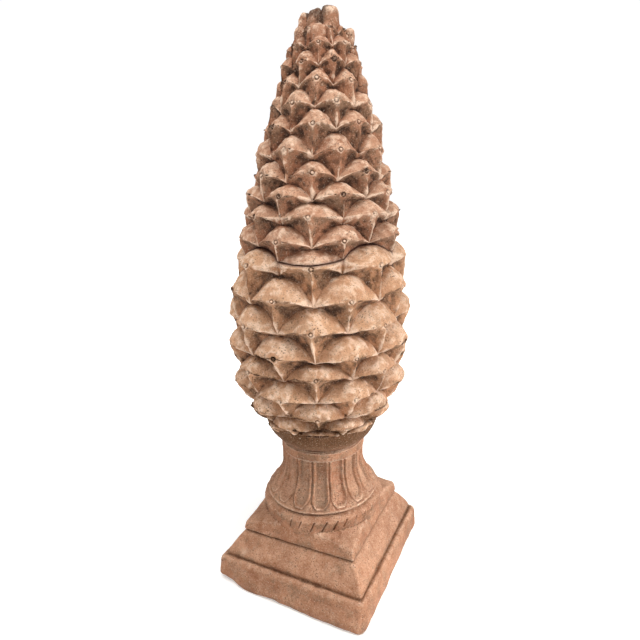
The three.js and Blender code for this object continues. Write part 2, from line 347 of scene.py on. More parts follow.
# Unevenness of hand work from -1 to 1: the fraction of a large multiple of a sine
def uneven(row, column, kind):
    turned = np.sin(row * 12.9898 + column * 78.233 + kind * 37.719) * 43758.5453
    return 2 * (turned - np.floor(turned)) - 1


# Eases from the first of a pair, on the low rows, to the second on the high ones
def byRow(row, pair):
    first, last = cone["changeRows"]
    return mix(pair[0], pair[1], smooth((row - first) / (last - first)))


# Where scales meet: turn = column * step + the row's turn, height = pip height - drop * pitch
def meeting(row, column, kind):
    kept = np.mod(column, cone["scalesPerRow"])
    drop = np.array(cone["tipDrops" if kind == "high" else "browDrops"])[np.clip(row, 0, rowCount - 1)]
    aside, lift = cone["meetingStray"]
    turn = (column + aside * uneven(row, kept, 1)) * fullTurn / cone["scalesPerRow"] + rowTurn(row)
    height = pipHeight(row) + (lift * uneven(row, kept, 2) - drop) * rowPitch(row)
    proud = cone["tipProud"] if kind == "high" else cone["browProud"]
    return np.stack(np.broadcast_arrays(turn, height, proud), axis=-1)


# A point of the skin: radius = the pips' radius - relief * (1 - how proud it stands)
def skinPoint(turn, height, proud):
    radius = pipRadius(height) - relief(height) * (1 - proud)
    strayX, strayY = strayAt(height)
    return np.stack([
        radius * np.cos(turn) + strayX,
        radius * np.sin(turn) + strayY,
        height + cone["tilt"] * radius * np.cos(turn - cone["straySide"]),
    ], axis=-1)


# The arch over a dome, from the tip beside it (q = 0) to its top (q = 1): the turn goes evenly, and the
# height rises by 1 - (1 - q) to a power
def archPoints(side, top, row, q):
    q = np.asarray(q)
    rise = 1 - (1 - q) ** byRow(row, cone["archPower"])[:, None]
    a, b = side[:, None], top[:, None]
    return np.stack([
        mix(a[..., 0], b[..., 0], q),
        mix(a[..., 1], b[..., 1], rise),
        mix(a[..., 2], b[..., 2], q) * (1 - cone["archDip"] * q * (1 - q)),
    ], axis=-1)


# All scales at once: rays from each pip to the scale's edge, and rings of points along them. The dome and
# the brow fall away late along a ray, the faces at once, and the keel evenly.
def coneSurface():
    perRow = cone["scalesPerRow"]
    row = np.repeat(np.arange(rowCount), perRow)
    column = np.tile(np.arange(perRow), rowCount) + np.where(row % 2 == 0, 0.5, 0.0)
    kept = np.mod(column, perRow)
    pitch = rowPitch(row)
    q = np.array(cone["arcSteps"])
    top, tip = meeting(row + 1, column, "brow"), meeting(row - 1, column, "high")
    ends = {}
    for side, step in (("left", -0.5), ("right", 0.5)):
        ends[side] = [meeting(row, column + step, kind) for kind in ("brow", "high")]

    def sideRun(low, high, shares):
        return mix(low[:, None], high[:, None], np.array(shares)[None, :, None])

    down = 1 - q
    edge = np.concatenate([
        sideRun(*ends["right"], [0, 0.5]),
        archPoints(ends["right"][1], top, row, q),
        archPoints(ends["left"][1], top, row, down),
        sideRun(*ends["left"], [1, 0.5]),
        archPoints(tip, ends["left"][0], row - 1, down),
        archPoints(tip, ends["right"][0], row - 1, q),
    ], axis=1)
    under = np.concatenate([np.zeros(4 + 2 * len(q)), q, down])  # 0 at the brow, 1 at the keel
    over = np.concatenate([[0, 0], q, down, [0, 0], np.zeros(2 * len(q))])  # 0 at the brow, 1 at the top

    aside, lift, out = cone["pipStray"]
    pipTurn = (column + aside * uneven(row, kept, 3)) * fullTurn / perRow + rowTurn(row)
    pipUp = pipHeight(row) + lift * pitch * uneven(row, kept, 4)
    pipProud = 1 + out * uneven(row, kept, 5)
    pip = np.stack([pipTurn, pipUp, pipProud], axis=-1)[:, None]
    far = np.linalg.norm(skinPoint(*np.moveaxis(edge, -1, 0)) - skinPoint(*np.moveaxis(pip, -1, 0)), axis=-1)

    size = np.clip(pitch / 40, 0.6, 1)[:, None, None]
    near = np.array(cone["pipRings"])[None, None] * size * np.ones_like(far)[..., None]
    rest = far[..., None] - near[..., -1:]
    reach = np.concatenate([near, near[..., -1:] + rest * np.array(cone["outerRings"])], axis=-1)
    share = reach / far[..., None]
    level = cone["pipLevel"] * size
    fallen = np.clip((reach - level) / (far[..., None] - level), 0, 1)

    # Place of each point: the rays by the brow droop late, as share to a power
    s, d = under[None, :, None], over[None, :, None]
    soon, late = cone["browHold"]
    byBrow = np.maximum(0, 1 - soon * s) ** late * (1 - d) ** 2
    power = byRow(row, cone["browPower"])[:, None, None]
    turn = mix(pip[..., :1], edge[..., :1], share)
    straight = mix(pip[..., 1:2], edge[..., 1:2], share)
    drooped = mix(pip[..., 1:2], edge[..., 1:2], share**power)
    height = mix(straight, drooped, byBrow)

    # How proud it stands: domes fall late, faces soon, and the brow and the keel stay as ridges of a width
    start, end = pip[..., 2:], edge[..., 2:]
    domed = end + (start - end) * (1 - fallen ** byRow(row, cone["domePower"])[:, None, None])
    keel = mix(start, end, fallen) + cone["keelArch"] * fallen * (1 - fallen)
    hollow = end + (start - end) * (1 - fallen) ** cone["hollowPower"]
    downKeel = np.clip((pip[..., 1:2] - height) / (pip[..., 1:2] - tip[:, None, None, 1]), 0, 1.2)
    keelTurn = mix(pip[..., :1], tip[:, None, None, 0], downKeel)
    half = (cone["keelHalf"][0] + cone["keelHalf"][1] * uneven(row, kept, 6))[:, None, None] * size
    aside = np.abs(turn - keelTurn) * pipRadius(height) / half
    onLeft = (turn < pip[..., :1])[..., None]
    browEnd = np.where(onLeft, ends["left"][0][:, None, None], ends["right"][0][:, None, None])
    across = np.clip((turn - pip[..., :1]) / (browEnd[..., 0] - pip[..., :1]), 0, 1)
    browUp = mix(pip[..., 1:2], browEnd[..., 1], across**power)
    below = np.maximum(browUp - height, 0) / (cone["browEdge"] * size)
    faced = (1 - np.exp(-(aside**2))) * (1 - np.exp(-(below**1.6))) * (s > 0)
    proud = mix(mix(domed, keel, smooth(s)), hollow, faced)
    points = skinPoint(turn, height, proud)

    outward = polar(1, turn, 0)
    nubHigh, nubWide = cone["nub"]
    cutDeep, cutAt, cutWide = cone["ringCut"]
    out = reach / size
    nub = nubHigh * np.exp(-((out / nubWide) ** 4)) - cutDeep * hump(out, cutAt, cutWide)
    points = points + outward * (nub * size)[..., None]
    middle = skinPoint(*np.moveaxis(pip, -1, 0)) + nubHigh * size * polar(1, pip[..., 0], 0)
    return row, points, middle[:, 0], size[:, 0, 0]


# The whole cone as one closed mesh, and the places and sizes of its pips
def coneObject():
    row, points, middle, sizes = coneSurface()
    scales, rays, rings = points.shape[:3]
    index = np.arange(scales * rays * rings).reshape(scales, rays, rings)
    after = np.roll(index, -1, axis=1)
    hubs = np.arange(scales) + index.size
    quads = np.stack([index[..., :-1], index[..., 1:], after[..., 1:], after[..., :-1]], axis=-1).reshape(-1, 4)
    fans = np.stack([np.broadcast_to(hubs[:, None], (scales, rays)), index[..., 0], after[..., 0]], axis=-1)
    arc = 2 * len(cone["arcSteps"])
    openBelow = slice(4 + arc, 4 + 2 * arc)
    openAbove = slice(2, 2 + arc)
    baseIndex = index.size + scales
    closing = []
    for rowAt, opened, end in ((0, openBelow, baseIndex), (rowCount - 1, openAbove, baseIndex + 1)):
        chosen = row == rowAt
        a, b = after[chosen][:, opened, -1].ravel(), index[chosen][:, opened, -1].ravel()
        closing.append(np.stack([a, b, np.full(a.shape, end)], axis=-1))
    ends = np.array([[0, 0, pipHeight(-1) - 20], [0, 0, pipHeight(rowCount) + 4]], float)
    allPoints = np.concatenate([points.reshape(-1, 3), middle, ends])
    faces = quads.tolist() + fans.reshape(-1, 3).tolist() + np.concatenate(closing).tolist()
    made = meshObject("wholeCone", allPoints, faces)
    weldEdges(made, cone["weld"])
    even = pointsOf(made.data)
    nubs = [int(np.argmin(np.sum((even - pip) ** 2, axis=-1))) for pip in middle]
    roughen(made, cone["handNoise"], 11)
    return made, pointsOf(made.data)[nubs], sizes


# Moves each point along its normal by layered noise, as clay worked by hand
def roughen(piece, layers, seed):
    points, normals = pointsOf(piece.data), normalsOf(piece.data)
    setPoints(piece.data, points + normals * layeredNoise(points, layers, seed)[:, None])


# Seam of the two parts: it follows the arches over one row, and sags across two domes
seam = {
    "row": 8,
    "cutDomes": [1, 6],
    "sag": 0.08,
    "openBelow": 1.25,
    "openAbove": 1.25,
    "tight": 0.12,
    "openDepth": 50,
    "openSlope": 6,
    "block": (20, 260, 1500.0),  # inner and outer radius and top of the block that cuts the cone
    "cutProud": 0.5,
    "steps": 720,
    "lineHalf": 3.0,
    "waver": [(22, 0.7), (7, 0.35)],
}


# Height of the seam at each turn: the arches' own points, joined straight
def seamHeights(turns):
    row, perRow = seam["row"], cone["scalesPerRow"]
    columns = np.arange(perRow) + (0.5 if row % 2 == 0 else 0.0)
    rows = np.full(perRow, row)
    q = np.array(cone["arcSteps"])
    top = meeting(rows + 1, columns, "brow")
    left, right = (meeting(rows, columns + step, "high") for step in (-0.5, 0.5))
    arches = np.concatenate([archPoints(left, top, rows, q), archPoints(right, top, rows, 1 - q)], axis=1)
    share = np.concatenate([q, 2 - (1 - q)])[None, :] / 2
    level = mix(left[:, None, :2], right[:, None, :2], share[..., None])
    sag = seam["sag"] * rowPitch(row) * np.sin(math.pi * share)
    cut = np.isin(np.arange(perRow), seam["cutDomes"])[:, None]
    turn = np.where(cut, level[..., 0], arches[..., 0]).ravel()
    height = np.where(cut, level[..., 1] - sag, arches[..., 1]).ravel()
    proud = np.where(cut, seam["cutProud"], arches[..., 2]).ravel()
    raised = skinPoint(turn, height, proud)[..., 2]
    wrapped = np.mod(turns - turn[0], fullTurn) + turn[0]
    return np.interp(wrapped, np.append(turn, turn[0] + fullTurn), np.append(raised, raised[0]))


# All above the seam, moved by `opening` near the skin and by `tight` farther in
def seamBlock(opening, tight):
    turns = np.arange(seam["steps"]) * fullTurn / seam["steps"]
    radius = pipRadius(pipHeights[seam["row"]])
    path = polar(radius, turns, seamHeights(turns))
    height = path[:, 2] + layeredNoise(path, seam["waver"], 31)
    shut = radius - seam["openDepth"]
    inner, outer, top = seam["block"]
    rings = ((inner, height + tight), (shut, height + tight), (shut + seam["openSlope"], height + opening),
             (outer, height + opening), (outer, top), (inner, top))
    return ringSkin("seamBlock", np.stack([polar(reach, turns, level) for reach, level in rings]))


# How near each point is to the joint's edges, from 0 to 1, for its dark line
def seamMark(piece):
    points = pointsOf(piece.data)
    away = np.abs(points[:, 2] - seamHeights(np.arctan2(points[:, 1], points[:, 0])))
    return hump(away, 0, seam["lineHalf"])


# Lobes: side in degrees, how far out, radius, how far under the highest, and height
crown = {
    "rise": 46,
    "lobes": [
        (-19, 22, 24, 0, 96), (-102, 19, 21, 5, 90), (206, 33, 19, 8, 92), (84, 20, 20, 9, 80),
        (148, 26, 19, 13, 80), (0, 0, 28, 9, 80), (-72, 43, 19, 37, 66), (-140, 44, 17, 38, 60),
        (16, 57, 12.5, 39, 60),
    ],
    "blunt": 0.5,  # the lower, the blunter both ends of a lobe
    "flat": 0.85,
    "ends": (0.02, 0.98),
    "rows": 28,
    "columns": 38,
    "noise": [(22, 3.0), (9, 2.2), (4, 0.7)],
}


# A lobe of the crown: its radius goes with a power of the sine of the rise, its height with the cosine
def lobeObject(side, out, radius, drop, tall):
    rise = np.linspace(*crown["ends"], crown["rows"])[:, None] * math.pi
    turn = np.arange(crown["columns"])[None] * fullTurn / crown["columns"]
    x = radius * crown["flat"] * np.sin(rise) ** crown["blunt"] * np.cos(turn) + out
    y = radius * np.sin(rise) ** crown["blunt"] * np.sin(turn)
    middle = pipHeights[-1] + crown["rise"] - tall / 2 - drop
    z = middle - tall / 2 * np.cos(rise) + 0 * turn
    a = math.radians(side)
    strayX, strayY = strayAt(pipHeights[-1])
    x, y = x * math.cos(a) - y * math.sin(a) + strayX, x * math.sin(a) + y * math.cos(a) + strayY
    points = np.stack([x, y, z], axis=-1)
    made = ringSkin("lobe", points)
    roughen(made, crown["noise"], 41)
    return made


# How near each point is to the ring cut round a pip, and to the pip's nub, up to 1
def pipMarks(piece, pips, sizes):
    points = pointsOf(piece.data)
    nearest, size = np.full(len(points), 1e9), np.ones(len(points))
    for pip, pipSize in zip(pips, sizes):
        away = np.linalg.norm(points - pip, axis=-1)
        closer = away < nearest
        nearest[closer], size[closer] = away[closer], pipSize
    cutAt, cutWide = cone["ringCut"][1:]
    out = nearest / size
    return {"ring": hump(out, cutAt, cutWide), "nub": np.exp(-((out / cone["nub"][1]) ** 4))}


# How proud each point stands: 1 - (the pips' radius - its own) / relief
def proudShare(piece):
    x, y, height = pointsOf(piece.data).T
    strayX, strayY = strayAt(height)
    return 1 - (pipRadius(height) - np.hypot(x - strayX, y - strayY)) / relief(height)


# How much the levels rise along X, from the underside to the lowest pips
levelLeans = [0, 0.03, 0.052, 0.056, 0.045, 0.035, 0.025, 0.018]


# Height + X * the lean at that height
def leaned(points):
    lean = np.interp(points[..., 2] / cone["lowestPip"], np.linspace(0, 1, len(levelLeans)), levelLeans)
    return points + np.stack([0 * lean, 0 * lean, lean * points[..., 0]], axis=-1)


plinth = {
    "sideSteps": 82,
    "cornerSteps": 7,
    # Half width, height and corner radius, from the underside to under the foot
    "profile": [
        (120, 0, 5), (160, 0, 6), (184, 0, 6), (192, 0.3, 7), (197, 1.2, 8), (200, 3.2, 9), (201.4, 7, 10),
        (202, 12, 10), (202.2, 17, 10), (202, 22, 10), (201.6, 28, 10), (201.2, 34, 10), (200.8, 40, 10),
        (200.4, 46, 10), (200, 52, 10), (199.6, 58, 10), (198.9, 63, 10), (197.6, 67.4, 10), (195.6, 70.6, 9),
        (193, 72.6, 8), (190.4, 73.2, 7), (188, 72.8, 6), (185.8, 71.8, 6), (184, 71.2, 6), (182.8, 72, 6),
        (182.4, 74, 5), (182.8, 76.6, 5), (183.4, 79.4, 5), (183.6, 82, 5), (183.2, 84.8, 5), (182.2, 87.8, 5),
        (179.8, 92.6, 5), (176.4, 98.6, 5), (172.4, 105.2, 5), (167.4, 112.6, 5), (162.4, 120, 5), (157.4, 127, 5),
        (152.8, 132, 5), (149.6, 134.2, 5), (148, 135.8, 5), (148.8, 137.6, 5), (151, 139.4, 5),
        (152.2, 142.4, 5), (151, 148.4, 5), (150, 153.6, 5), (148.6, 158, 5), (146.4, 161.4, 5),
        (143, 163.4, 5), (138.6, 164.2, 5), (133.6, 164.6, 5),
        (128.6, 165, 5), (123.4, 165.4, 5), (118, 165.8, 5), (112.6, 166.2, 5), (107, 166.6, 5), (96, 167, 5),
        (80, 167, 5),
    ],
    "drum": 151,
    "cornerRise": (16, 56, 1.5),  # climb to the drum, from how far out, how hollow
    "topFrom": (160, 4),  # height where the top begins, and ease
    "farCorner": (5, 138, 20, 300),  # rise, from which height, ease, and ease along the diagonal
    "keptEdge": (-202, 70, -178, 60),  # unworn edge: its Y and reach, start along X and ease
    "bulge": (8, 10, 45, 190, 10),  # swell over it, up to which height, ease, how far out, ease
    "edgeLift": 9,  # wear elsewhere
    "liftShares": (0.9, 0.4),
    "liftOut": (186, 12),
    "liftUp": (5, 22),
    "edgeNoise": [(46, 4.5), (17, 2.6)],
    "noise": [(80, 1.3), (26, 0.9), (9, 0.5), (4, 0.2)],
    # Edges that crumble: height, half width, share of the wear, and how far out
    "arrises": [(72, 9, 1.0, 0), (136, 4, 0.6, 0), (163, 5, 0.5, 150)],
    "arrisLean": 0.034,
    "arrisNoise": [(19, 2.2), (7, 1.3)],
    "arrisHigh": 0.4,
    # Broken corner: place, reach, depth and roughness, the same of its arris, and the way in
    "broken": ((190, -206, 40), (38, 20, 30), 5.0, [(9, 3.2), (4, 1.4)]),
    "brokenArris": ((202, -202), 16, 5.5, [(11, 2.5)]),
    "brokenUnder": 80,
    "brokenWay": (-0.55, 0.8),
    "chip": (-136, -179, 87),
    "chipSize": (5.5, 3.4, 7),  # reach, depth and reach of its pale mark
    "grooves": [(0.034, 74, 6, 187), (0.052, 136, 3, 152)],  # lean, height, half width and how far in
    "grooveShade": 0.42,
}


# A rounded square grown from a profile: (half width - corner radius) * the square + corner radius * the
# outward direction, which turns only at the corners
def plinthObject():
    side, corner = plinth["sideSteps"], plinth["cornerSteps"]
    along = np.concatenate([np.linspace(-1, 1, side), np.ones(corner)])
    bend = np.concatenate([np.zeros(side), np.arange(1, corner + 1) / (corner + 1)]) * math.pi / 2
    square = np.stack([np.ones_like(along), along], axis=-1)
    outward = np.stack([np.cos(bend), np.sin(bend)], axis=-1)
    quarters = np.arange(4) * math.pi / 2
    turns = [np.array([[math.cos(a), math.sin(a)], [-math.sin(a), math.cos(a)]]) for a in quarters]
    square = np.concatenate([square @ turn for turn in turns])
    outward = np.concatenate([outward @ turn for turn in turns])
    half, height, radius = (np.array(column, float)[:, None, None] for column in zip(*plinth["profile"]))
    flat = (half - radius) * square + radius * outward
    x, y = flat[..., 0], flat[..., 1].copy()
    z = np.broadcast_to(height[..., 0], x.shape).copy()

    rise, span, power = plinth["cornerRise"]
    outOfDrum = np.clip((np.hypot(x, y) - plinth["drum"]) / span, 0, 1)
    z += rise * (1 - outOfDrum) ** power * eased(z, *plinth["topFrom"])
    rise, start, ease, diagonal = plinth["farCorner"]
    z += rise * eased(z, start, ease) * smooth((x + y) / diagonal)

    # The underside's edge is kept and swollen under one side, and worn up elsewhere
    sideY, sideReach, start, ease = plinth["keptEdge"]
    kept = hump(y, sideY, sideReach) * eased(x, start, ease)
    wave = layeredNoise(np.stack([x, y, 0 * x], axis=-1), plinth["edgeNoise"], 51)
    swell, full, fade, farOut, farEase = plinth["bulge"]
    y -= swell * kept * (1 - eased(z, full, fade)) * smooth((half[..., 0] - farOut) / farEase)
    waveShare, waveMore = plinth["liftShares"]
    lift = plinth["edgeLift"] * (1 - kept) + wave * (waveShare + waveMore * kept)
    lift = lift * eased(half[..., 0], *plinth["liftOut"])
    z += np.maximum(lift, 0) * (1 - eased(z, *plinth["liftUp"]))
    made = ringSkin("plinth", leaned(np.stack([x, y, z], axis=-1)))
    roughen(made, plinth["noise"], 53)

    # Narrow edges crumble more than the rest
    points, normals = pointsOf(made.data), normalsOf(made.data)
    level = points[:, 2] - plinth["arrisLean"] * points[:, 0]
    farOut = np.hypot(points[:, 0], points[:, 1])
    arris = sum(share * hump(level, at, wide) * (farOut > beyond)
                for at, wide, share, beyond in plinth["arrises"])
    worn = np.minimum(layeredNoise(points, plinth["arrisNoise"], 55), plinth["arrisHigh"]) * arris
    points += normals * worn[:, None]

    # The nearest corner of the slab is broken off rough
    place, reach, depth, rough = plinth["broken"]
    off = np.sum(((points - place) / reach) ** 2, axis=-1)
    lost = np.exp(-off) * (depth + layeredNoise(points, rough, 57))
    place, reach, depth, rough = plinth["brokenArris"]
    corner = np.exp(-np.sum((points[:, :2] - place) ** 2, axis=-1) / reach**2) * (level < plinth["brokenUnder"])
    lost += corner * (depth + layeredNoise(points, rough, 59))
    points[:, :2] += lost[:, None] * plinth["brokenWay"]
    reach, depth = plinth["chipSize"][:2]
    dent = np.exp(-np.sum(((points - plinth["chip"]) / reach) ** 2, axis=-1))
    points -= normals * (dent * depth)[:, None]
    points[:, 2] = np.maximum(points[:, 2], 0)
    setPoints(made.data, points)
    return made


foot = {
    "columns": 704,
    "crowded": 0.35,
    "frontSide": -62,
    # Height and radius, from inside the plinth to the leaves
    "profile": [
        (150, 142), (158, 144.4), (164, 146), (168, 147), (171.4, 147.8), (174.2, 148.4), (176.8, 148.9),
        (179.4, 149.3), (182, 149.7), (184.6, 150.1), (187.2, 150.4), (189.8, 150.7), (192.4, 151), (195, 151.2),
        (197.4, 151.4), (199.6, 151.7), (201.6, 152.1), (203, 152.4), (204.4, 152.6), (206.6, 152.2),
        (208.8, 150.8), (211, 148.8), (213.2, 146.6), (215.2, 144.2), (216.6, 141.6), (217.4, 138.8),
        (218.2, 136.8), (219.4, 136), (220.8, 136.6), (222, 138.4), (223.2, 140.4), (224.6, 141.4),
        (226.4, 141.6), (228.4, 141),
    ],
    "bellBase": 222,
    "bellHeight": 122,
    "bellFoot": 142,
    "bellRows": (0.065, 0.985, 40),
    "bellCurve": (0.66, 1.6),  # share where it is a neck, and how hollow it is
    "neck": 101.5,
    "stray": 1.6,  # towards the cone's straySide
    "strayRun": (225, 375, 40),
    # From the collar up: height and radius
    "collar": [
        (343.4, 99), (343.6, 101.6), (344.2, 104), (346, 105), (349, 104.6), (354, 103.4), (359, 103),
        (362.4, 103.4), (364, 103.4), (365, 101.6), (365.6, 98.6), (366.2, 98), (367, 100), (368, 102.8),
        (369.4, 103.8), (370.8, 103), (371.8, 100.4), (372.4, 97.6), (373.2, 97.2), (374, 99.6), (375.4, 104.6),
    ],
    "bowlFoot": 373,
    "bowlHeight": 60,
    "bowlNeck": 104,
    "bowl": 139,
    "bowlCurve": 0.8,
    "bowlSteps": [0.06, 0.13, 0.22, 0.32, 0.43, 0.55, 0.67, 0.8, 0.92, 1.05],
    "leaves": 16,
    "leafWidth": 0.9,
    "leafPoint": 0.2,
    "leafBlunt": 0.36,
    "leafFoot": 0.07,
    "leafStray": (0.03, 0.2),  # unevenness of the leaves' places and points
    "leafRun": (0.05, 0.02, 0.995),
    "leafFade": (0.04, 0.06, 0.05),
    "rimWidth": 4.8,
    "rimHeight": 2.0,
    "rimHalf": 2.5,
    "panelDepth": 5.6,
    "panelSlope": 4,
    "groove": (1.8, 1.3, 3.0),  # how far outside the leaf, half width and depth
    "spandrel": (3, 4, 0.3, 0.1, 1.4),  # between the feet: from, ease, up to, ease, height
    "strokes": 34,
    "strokeTop": 209,
    "strokeLong": (25, 7, 2.5),  # length, more in front, and unevenness
    "strokeLean": (6, 9, 3),
    "strokeFront": 0.28,
    "strokeStray": 0.1,
    "strokeEnds": (2, 3),
    "strokeDepth": 6.0,
    "strokeHalf": 1.5,
    "lip": 150,
    "bowlLean": 0.04,
    "bowlShade": [(362, 12, 0.62), (382, 24, 0.35)],  # from where, ease and share
    "proud": 0.6,
    "noise": [(60, 1.2), (20, 0.9), (7, 0.5), (3.4, 0.2)],
}


# A number from 0 to 1 for each leaf's own dirt, faded out off the leaves
def leafMark(points):
    step = fullTurn / foot["leaves"]
    leaf = np.round(np.arctan2(points[:, 1], points[:, 0]) / step) % foot["leaves"]
    share = (points[:, 2] - foot["bellBase"]) / foot["bellHeight"]
    start, low, high = foot["leafFade"]
    return (1 + uneven(leaf, 5, 9)) / 2 * eased(share, start, low) * eased(1, share, high)


# Radius of the foot: a turned profile, less the leaf panels, their grooves and the strokes under the lip
def footObject():
    low = np.array(foot["profile"], float)
    bellShare = np.linspace(*foot["bellRows"])
    bellZ = foot["bellBase"] + bellShare * foot["bellHeight"]
    straight, hollow = foot["bellCurve"]
    bellR = mix(foot["neck"], foot["bellFoot"], (1 - np.minimum(1, bellShare / straight)) ** hollow)
    high = np.array(foot["collar"], float)
    bowlShare = np.array(foot["bowlSteps"])
    bowlZ = foot["bowlFoot"] + bowlShare * foot["bowlHeight"]
    swelling = np.sin(np.minimum(bowlShare, 1) * math.pi / 2) ** foot["bowlCurve"]
    bowlR = mix(foot["bowlNeck"], foot["bowl"], swelling)
    height = np.concatenate([low[:, 0], bellZ, high[:, 0], bowlZ])[:, None]
    radius = np.concatenate([low[:, 1], bellR, high[:, 1], bowlR])[:, None]
    even = np.arange(foot["columns"])[None] * fullTurn / foot["columns"]
    turn = even - foot["crowded"] * np.sin(even - math.radians(foot["frontSide"]))  # closer together in front

    # Leaves: distance to the outline, less than zero inside it
    step = fullTurn / foot["leaves"]
    leaf = np.round(turn / step)
    kept = leaf % foot["leaves"]
    aside, longer = foot["leafStray"]
    away = np.abs(turn - leaf * step - aside * step * uneven(kept, 3, 7)) / (step / 2)
    share = (height - foot["bellBase"]) / foot["bellHeight"]
    rise = (share - foot["leafFoot"]) / (foot["leafPoint"] * (1 + longer * uneven(kept, 4, 8)))
    pointed = mix(foot["leafBlunt"], 1, np.sin(np.clip(rise, 0, 1) * math.pi / 2))
    side = (away - foot["leafWidth"] * pointed) * step / 2 * radius
    outline = np.maximum(side, (foot["leafFoot"] - share) * foot["bellHeight"])
    start, ease, end = foot["leafRun"]
    carved = eased(share, start, ease) * (share < end)
    panel = smooth((-outline - foot["rimWidth"] * 0.9) / foot["panelSlope"]) * foot["panelDepth"]
    rim = hump(outline, -foot["rimWidth"] * 0.5, foot["rimHalf"]) * foot["rimHeight"]
    at, wide, deep = foot["groove"]
    groove = hump(outline, at, wide) * deep
    start, ease, top, topEase, raised = foot["spandrel"]
    spandrel = eased(outline, start, ease) * eased(top, share, topEase) * raised
    radius = radius + carved * (rim - panel - groove + spandrel)

    # Strokes: slanting cuts, the longest in front
    strokeStep = fullTurn / foot["strokes"]
    number = np.round(turn / strokeStep)
    kept = number % foot["strokes"]
    fromFront = np.angle(np.exp(1j * (kept * strokeStep - math.radians(foot["frontSide"]))))
    front = hump(fromFront, 0, foot["strokeFront"])
    least, more, stray = foot["strokeLong"]
    long = least + more * front + stray * uneven(kept, 1, 11)
    least, more, stray = foot["strokeLean"]
    lean = (least + more * front + stray * uneven(kept, 2, 12)) / foot["lip"]
    fromTop = foot["strokeTop"] - height
    below = np.clip(fromTop / long, 0, 1)
    place = (number + foot["strokeStray"] * uneven(kept, 3, 13)) * strokeStep + lean * (0.5 - below)
    off = (turn - place) * foot["lip"]
    topEase, footEase = foot["strokeEnds"]
    inside = smooth(fromTop / topEase) * smooth((long - fromTop) / footEase)
    radius = radius - foot["strokeDepth"] * hump(off, 0, foot["strokeHalf"]) * inside

    start, end, ease = foot["strayRun"]
    stray = foot["stray"] * eased(height, start, ease) * (1 - eased(height, end, ease))
    a = cone["straySide"]
    x, y = radius * np.cos(turn) + stray * math.cos(a), radius * np.sin(turn) + stray * math.sin(a)
    made = ringSkin("foot", leaned(np.stack([x, y, height + 0 * turn], axis=-1)))
    roughen(made, foot["noise"], 61)
    return made


# A colour from its values in the photo, as linear light
def colour(red, green, blue):
    values = np.array([red, green, blue]) / 255
    linear = np.where(values <= 0.04045, values / 12.92, ((values + 0.055) / 1.055) ** 2.4)
    return (*linear.tolist(), 1.0)


# A socket that can be reckoned with: each sum adds its Math node
class Link:
    def __init__(self, board, socket):
        self.board, self.socket = board, socket

    def sum(self, operation, *values):
        return self.board.node("ShaderNodeMath", {"operation": operation}, dict(enumerate(values)))

    def __add__(self, other):
        return self.sum("ADD", self, other)

    def __sub__(self, other):
        return self.sum("SUBTRACT", self, other)

    def __rsub__(self, other):
        return self.sum("SUBTRACT", other, self)

    def __mul__(self, other):
        return self.sum("MULTIPLY", self, other)

    def __neg__(self):
        return self.sum("MULTIPLY", self, -1.0)

    __radd__, __rmul__ = __add__, __mul__

    # 0 below `low`, 1 above `high`, smooth between
    def between(self, low, high):
        settings = {"interpolation_type": "SMOOTHSTEP"}
        return self.board.node("ShaderNodeMapRange", settings, {"Value": self, "From Min": low, "From Max": high})


class Board:
    def __init__(self, name):
        self.material = bpy.data.materials.new(name)
        self.material.use_nodes = True
        self.tree = self.material.node_tree
        self.tree.nodes.clear()
        self.place = self.node("ShaderNodeTexCoord", {}, {}, "Object")

    # Adds a node with settings and with values or links of its sockets, and gives one output
    def node(self, kind, settings, values, output=0):
        made = self.tree.nodes.new(kind)
        for key, value in settings.items():
            setattr(made, key, value)
        for key, value in values.items():
            if isinstance(value, Link):
                self.tree.links.new(value.socket, made.inputs[key])
            else:
                made.inputs[key].default_value = value
        return Link(self, made.outputs[output]) if made.outputs else None

    def noise(self, scale, detail, rough, twist=0.0, tall=1.0):
        place = self.node("ShaderNodeMapping", {}, {"Vector": self.place, "Scale": (1, 1, tall)})
        values = {"Vector": place, "Scale": scale, "Detail": detail, "Roughness": rough, "Distortion": twist}
        return self.node("ShaderNodeTexNoise", {}, values)

    def mark(self, name):
        return self.node("ShaderNodeAttribute", {"attribute_name": name}, {}, "Fac")

    def blend(self, share, first, second):
        return self.node("ShaderNodeMix", {"data_type": "RGBA"}, {0: share, 6: first, 7: second}, 2)

    # Lays a colour of the clay over the tint so far
    def coat(self, share, kind):
        self.tint = self.blend(share, self.tint, clay[kind])



# Marks of the foot and plinth: shade under the cone and in the grooves, leaves, and the pale chip
def footMarks(points):
    x, z = points[:, 0], points[:, 2]
    farOut = np.abs(points[:, :2]).max(axis=1)
    shade = sum(share * smooth((z - foot["bowlLean"] * x - start) / ease) for start, ease, share in foot["bowlShade"])
    shade += plinth["grooveShade"] * sum(hump(z - lean * x, at, wide) * (farOut < within)
                                         for lean, at, wide, within in plinth["grooves"])
    pale = np.exp(-np.sum((points - plinth["chip"]) ** 2, axis=-1) / plinth["chipSize"][2] ** 2)
    return {"proud": np.full(len(points), foot["proud"]), "shade": shade, "leaf": leafMark(points), "nub": pale}


clay = {
    "body": colour(176, 125, 97),
    "deep": colour(143, 96, 72),
    "pale": colour(205, 165, 138),
    "dustAndHighlight": colour(232, 204, 180),
    "rust": colour(172, 98, 62),
    "sootAndShade": colour(52, 36, 28),
    "lichen": colour(112, 96, 78),
    "olive": colour(92, 62, 38),
    "ochre": colour(206, 156, 104),
    "seam": colour(84, 36, 24),
}
